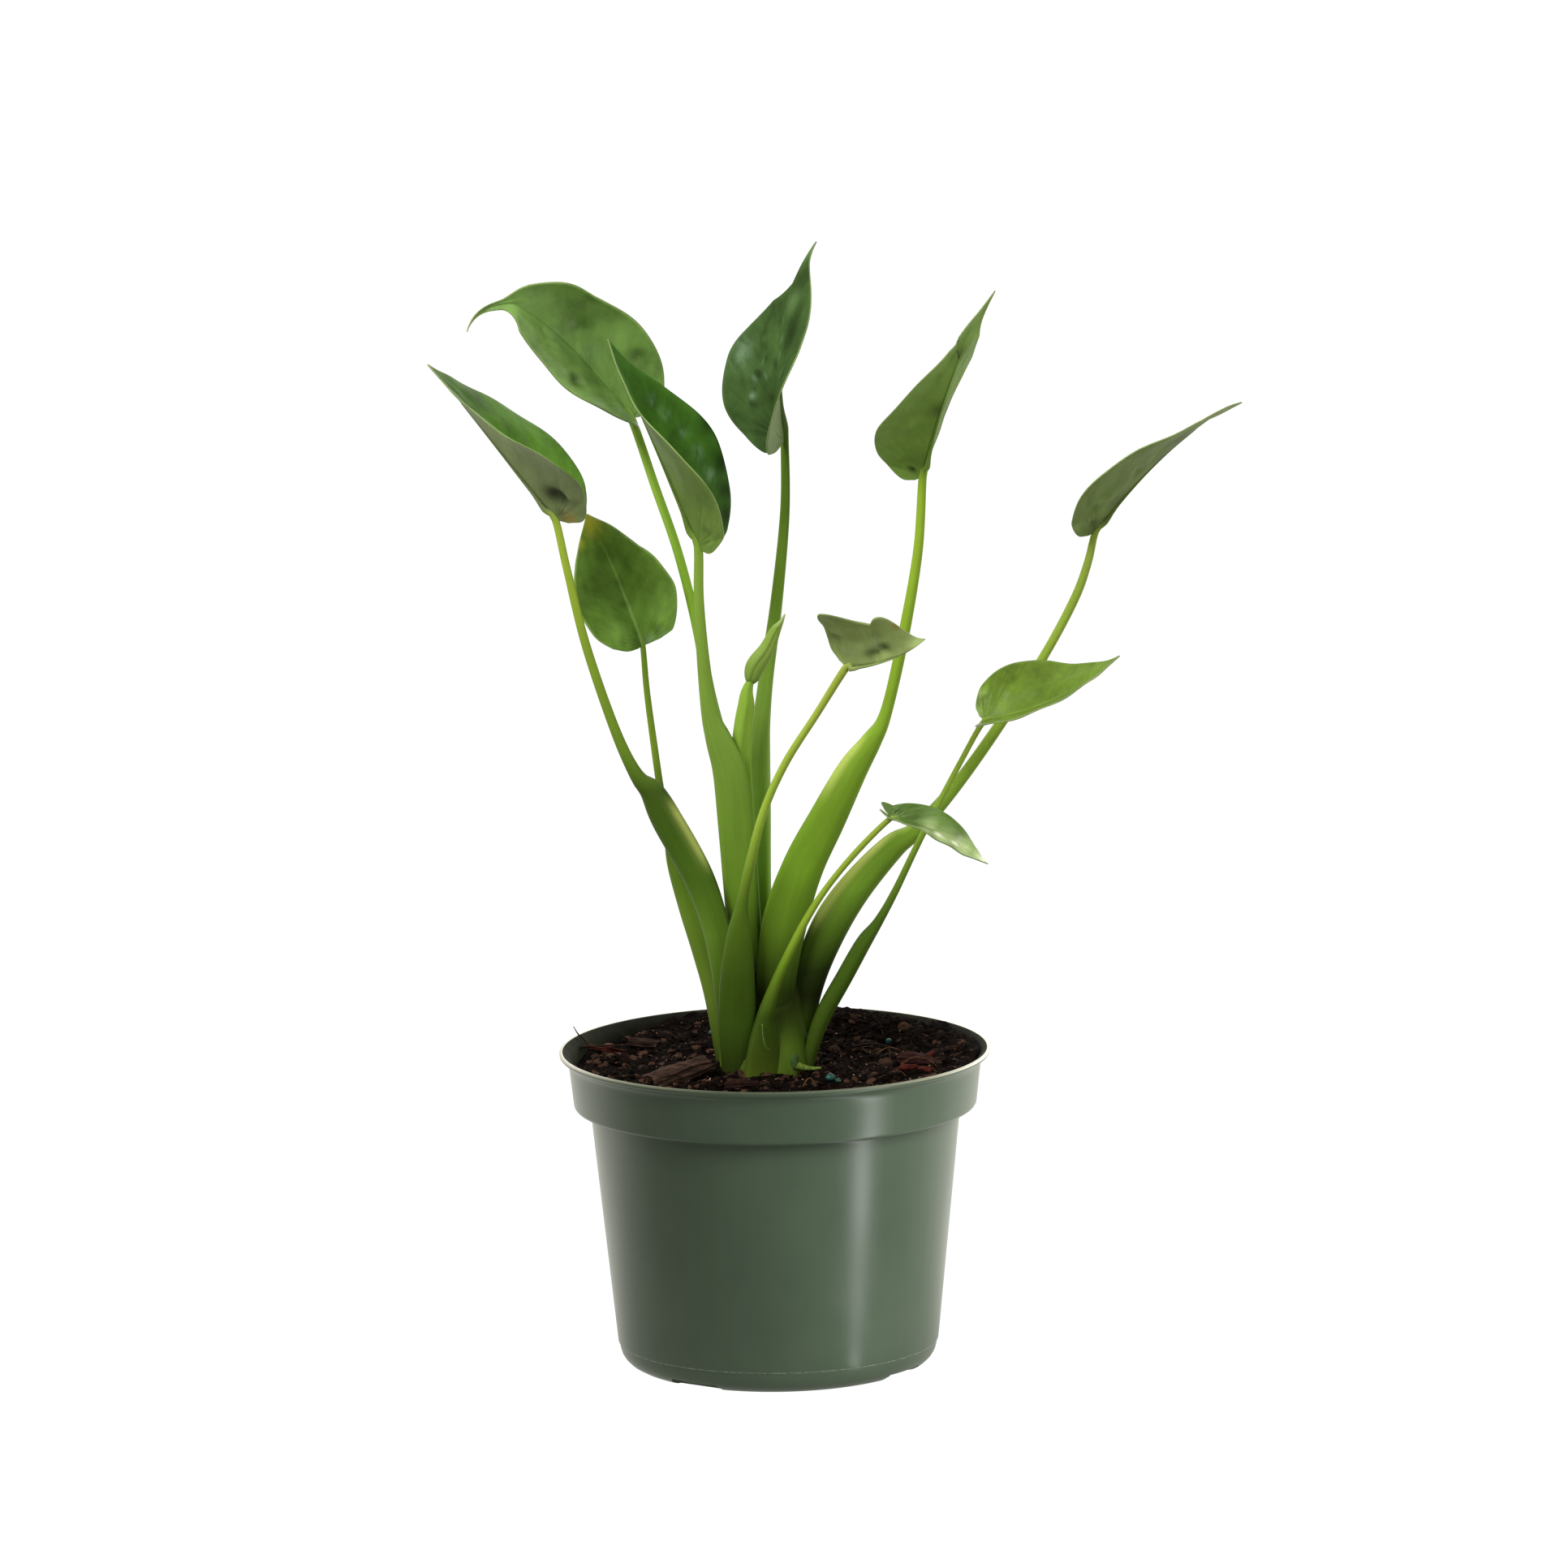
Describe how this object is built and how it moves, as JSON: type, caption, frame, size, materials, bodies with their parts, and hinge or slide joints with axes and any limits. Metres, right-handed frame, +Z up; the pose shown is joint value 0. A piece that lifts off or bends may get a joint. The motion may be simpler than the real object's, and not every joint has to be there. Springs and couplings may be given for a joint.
{
  "type": "potted alocasia",
  "caption": "Young alocasia with arrow-shaped leaves on sheathed stalks, growing in bark-rich potting mix in a round moulded nursery pot.",
  "frame": {"origin": "centre of the pot's flat underside, on the surface that it stands on", "axes": "+Z up along the pot's axis; -Y is the side seen in the picture; +X is the viewer's right"},
  "size_m": [0.3082, 0.165, 0.427],
  "materials": {
    "pot_plastic": "grey-green moulded plastic, soft satin",
    "potting_mix": null,
    "bark": "rough broken bark",
    "corm": "corky skin",
    "leaf_green": null,
    "stalk_green": "smooth waxy living stalk"
  },
  "bodies": {
    "root": {"pot": "pot_plastic", "potting_mix": "potting_mix", "corm": "corm", "bark_chip_1": "bark", "bark_chip_2": "bark", "bark_chip_3": "bark", "bark_chip_4": "bark", "bark_chip_5": "bark", "leaf_1_blade": "leaf_green", "leaf_2_blade": "leaf_green", "leaf_3_blade": "leaf_green", "leaf_4_blade": "leaf_green", "leaf_5_blade": "leaf_green", "leaf_6_blade": "leaf_green", "leaf_7_blade": "leaf_green", "leaf_8_blade": "leaf_green", "leaf_9_blade": "leaf_green", "leaf_10_blade": "leaf_green", "leaf_1_stalk": "stalk_green", "leaf_2_stalk": "stalk_green", "leaf_3_stalk": "stalk_green", "leaf_4_stalk": "stalk_green", "leaf_5_stalk": "stalk_green", "leaf_6_stalk": "stalk_green", "leaf_7_stalk": "stalk_green", "leaf_8_stalk": "stalk_green", "leaf_9_stalk": "stalk_green", "leaf_10_stalk": "stalk_green", "new_leaf_stalk": "stalk_green"}
  },
  "joints": []
}
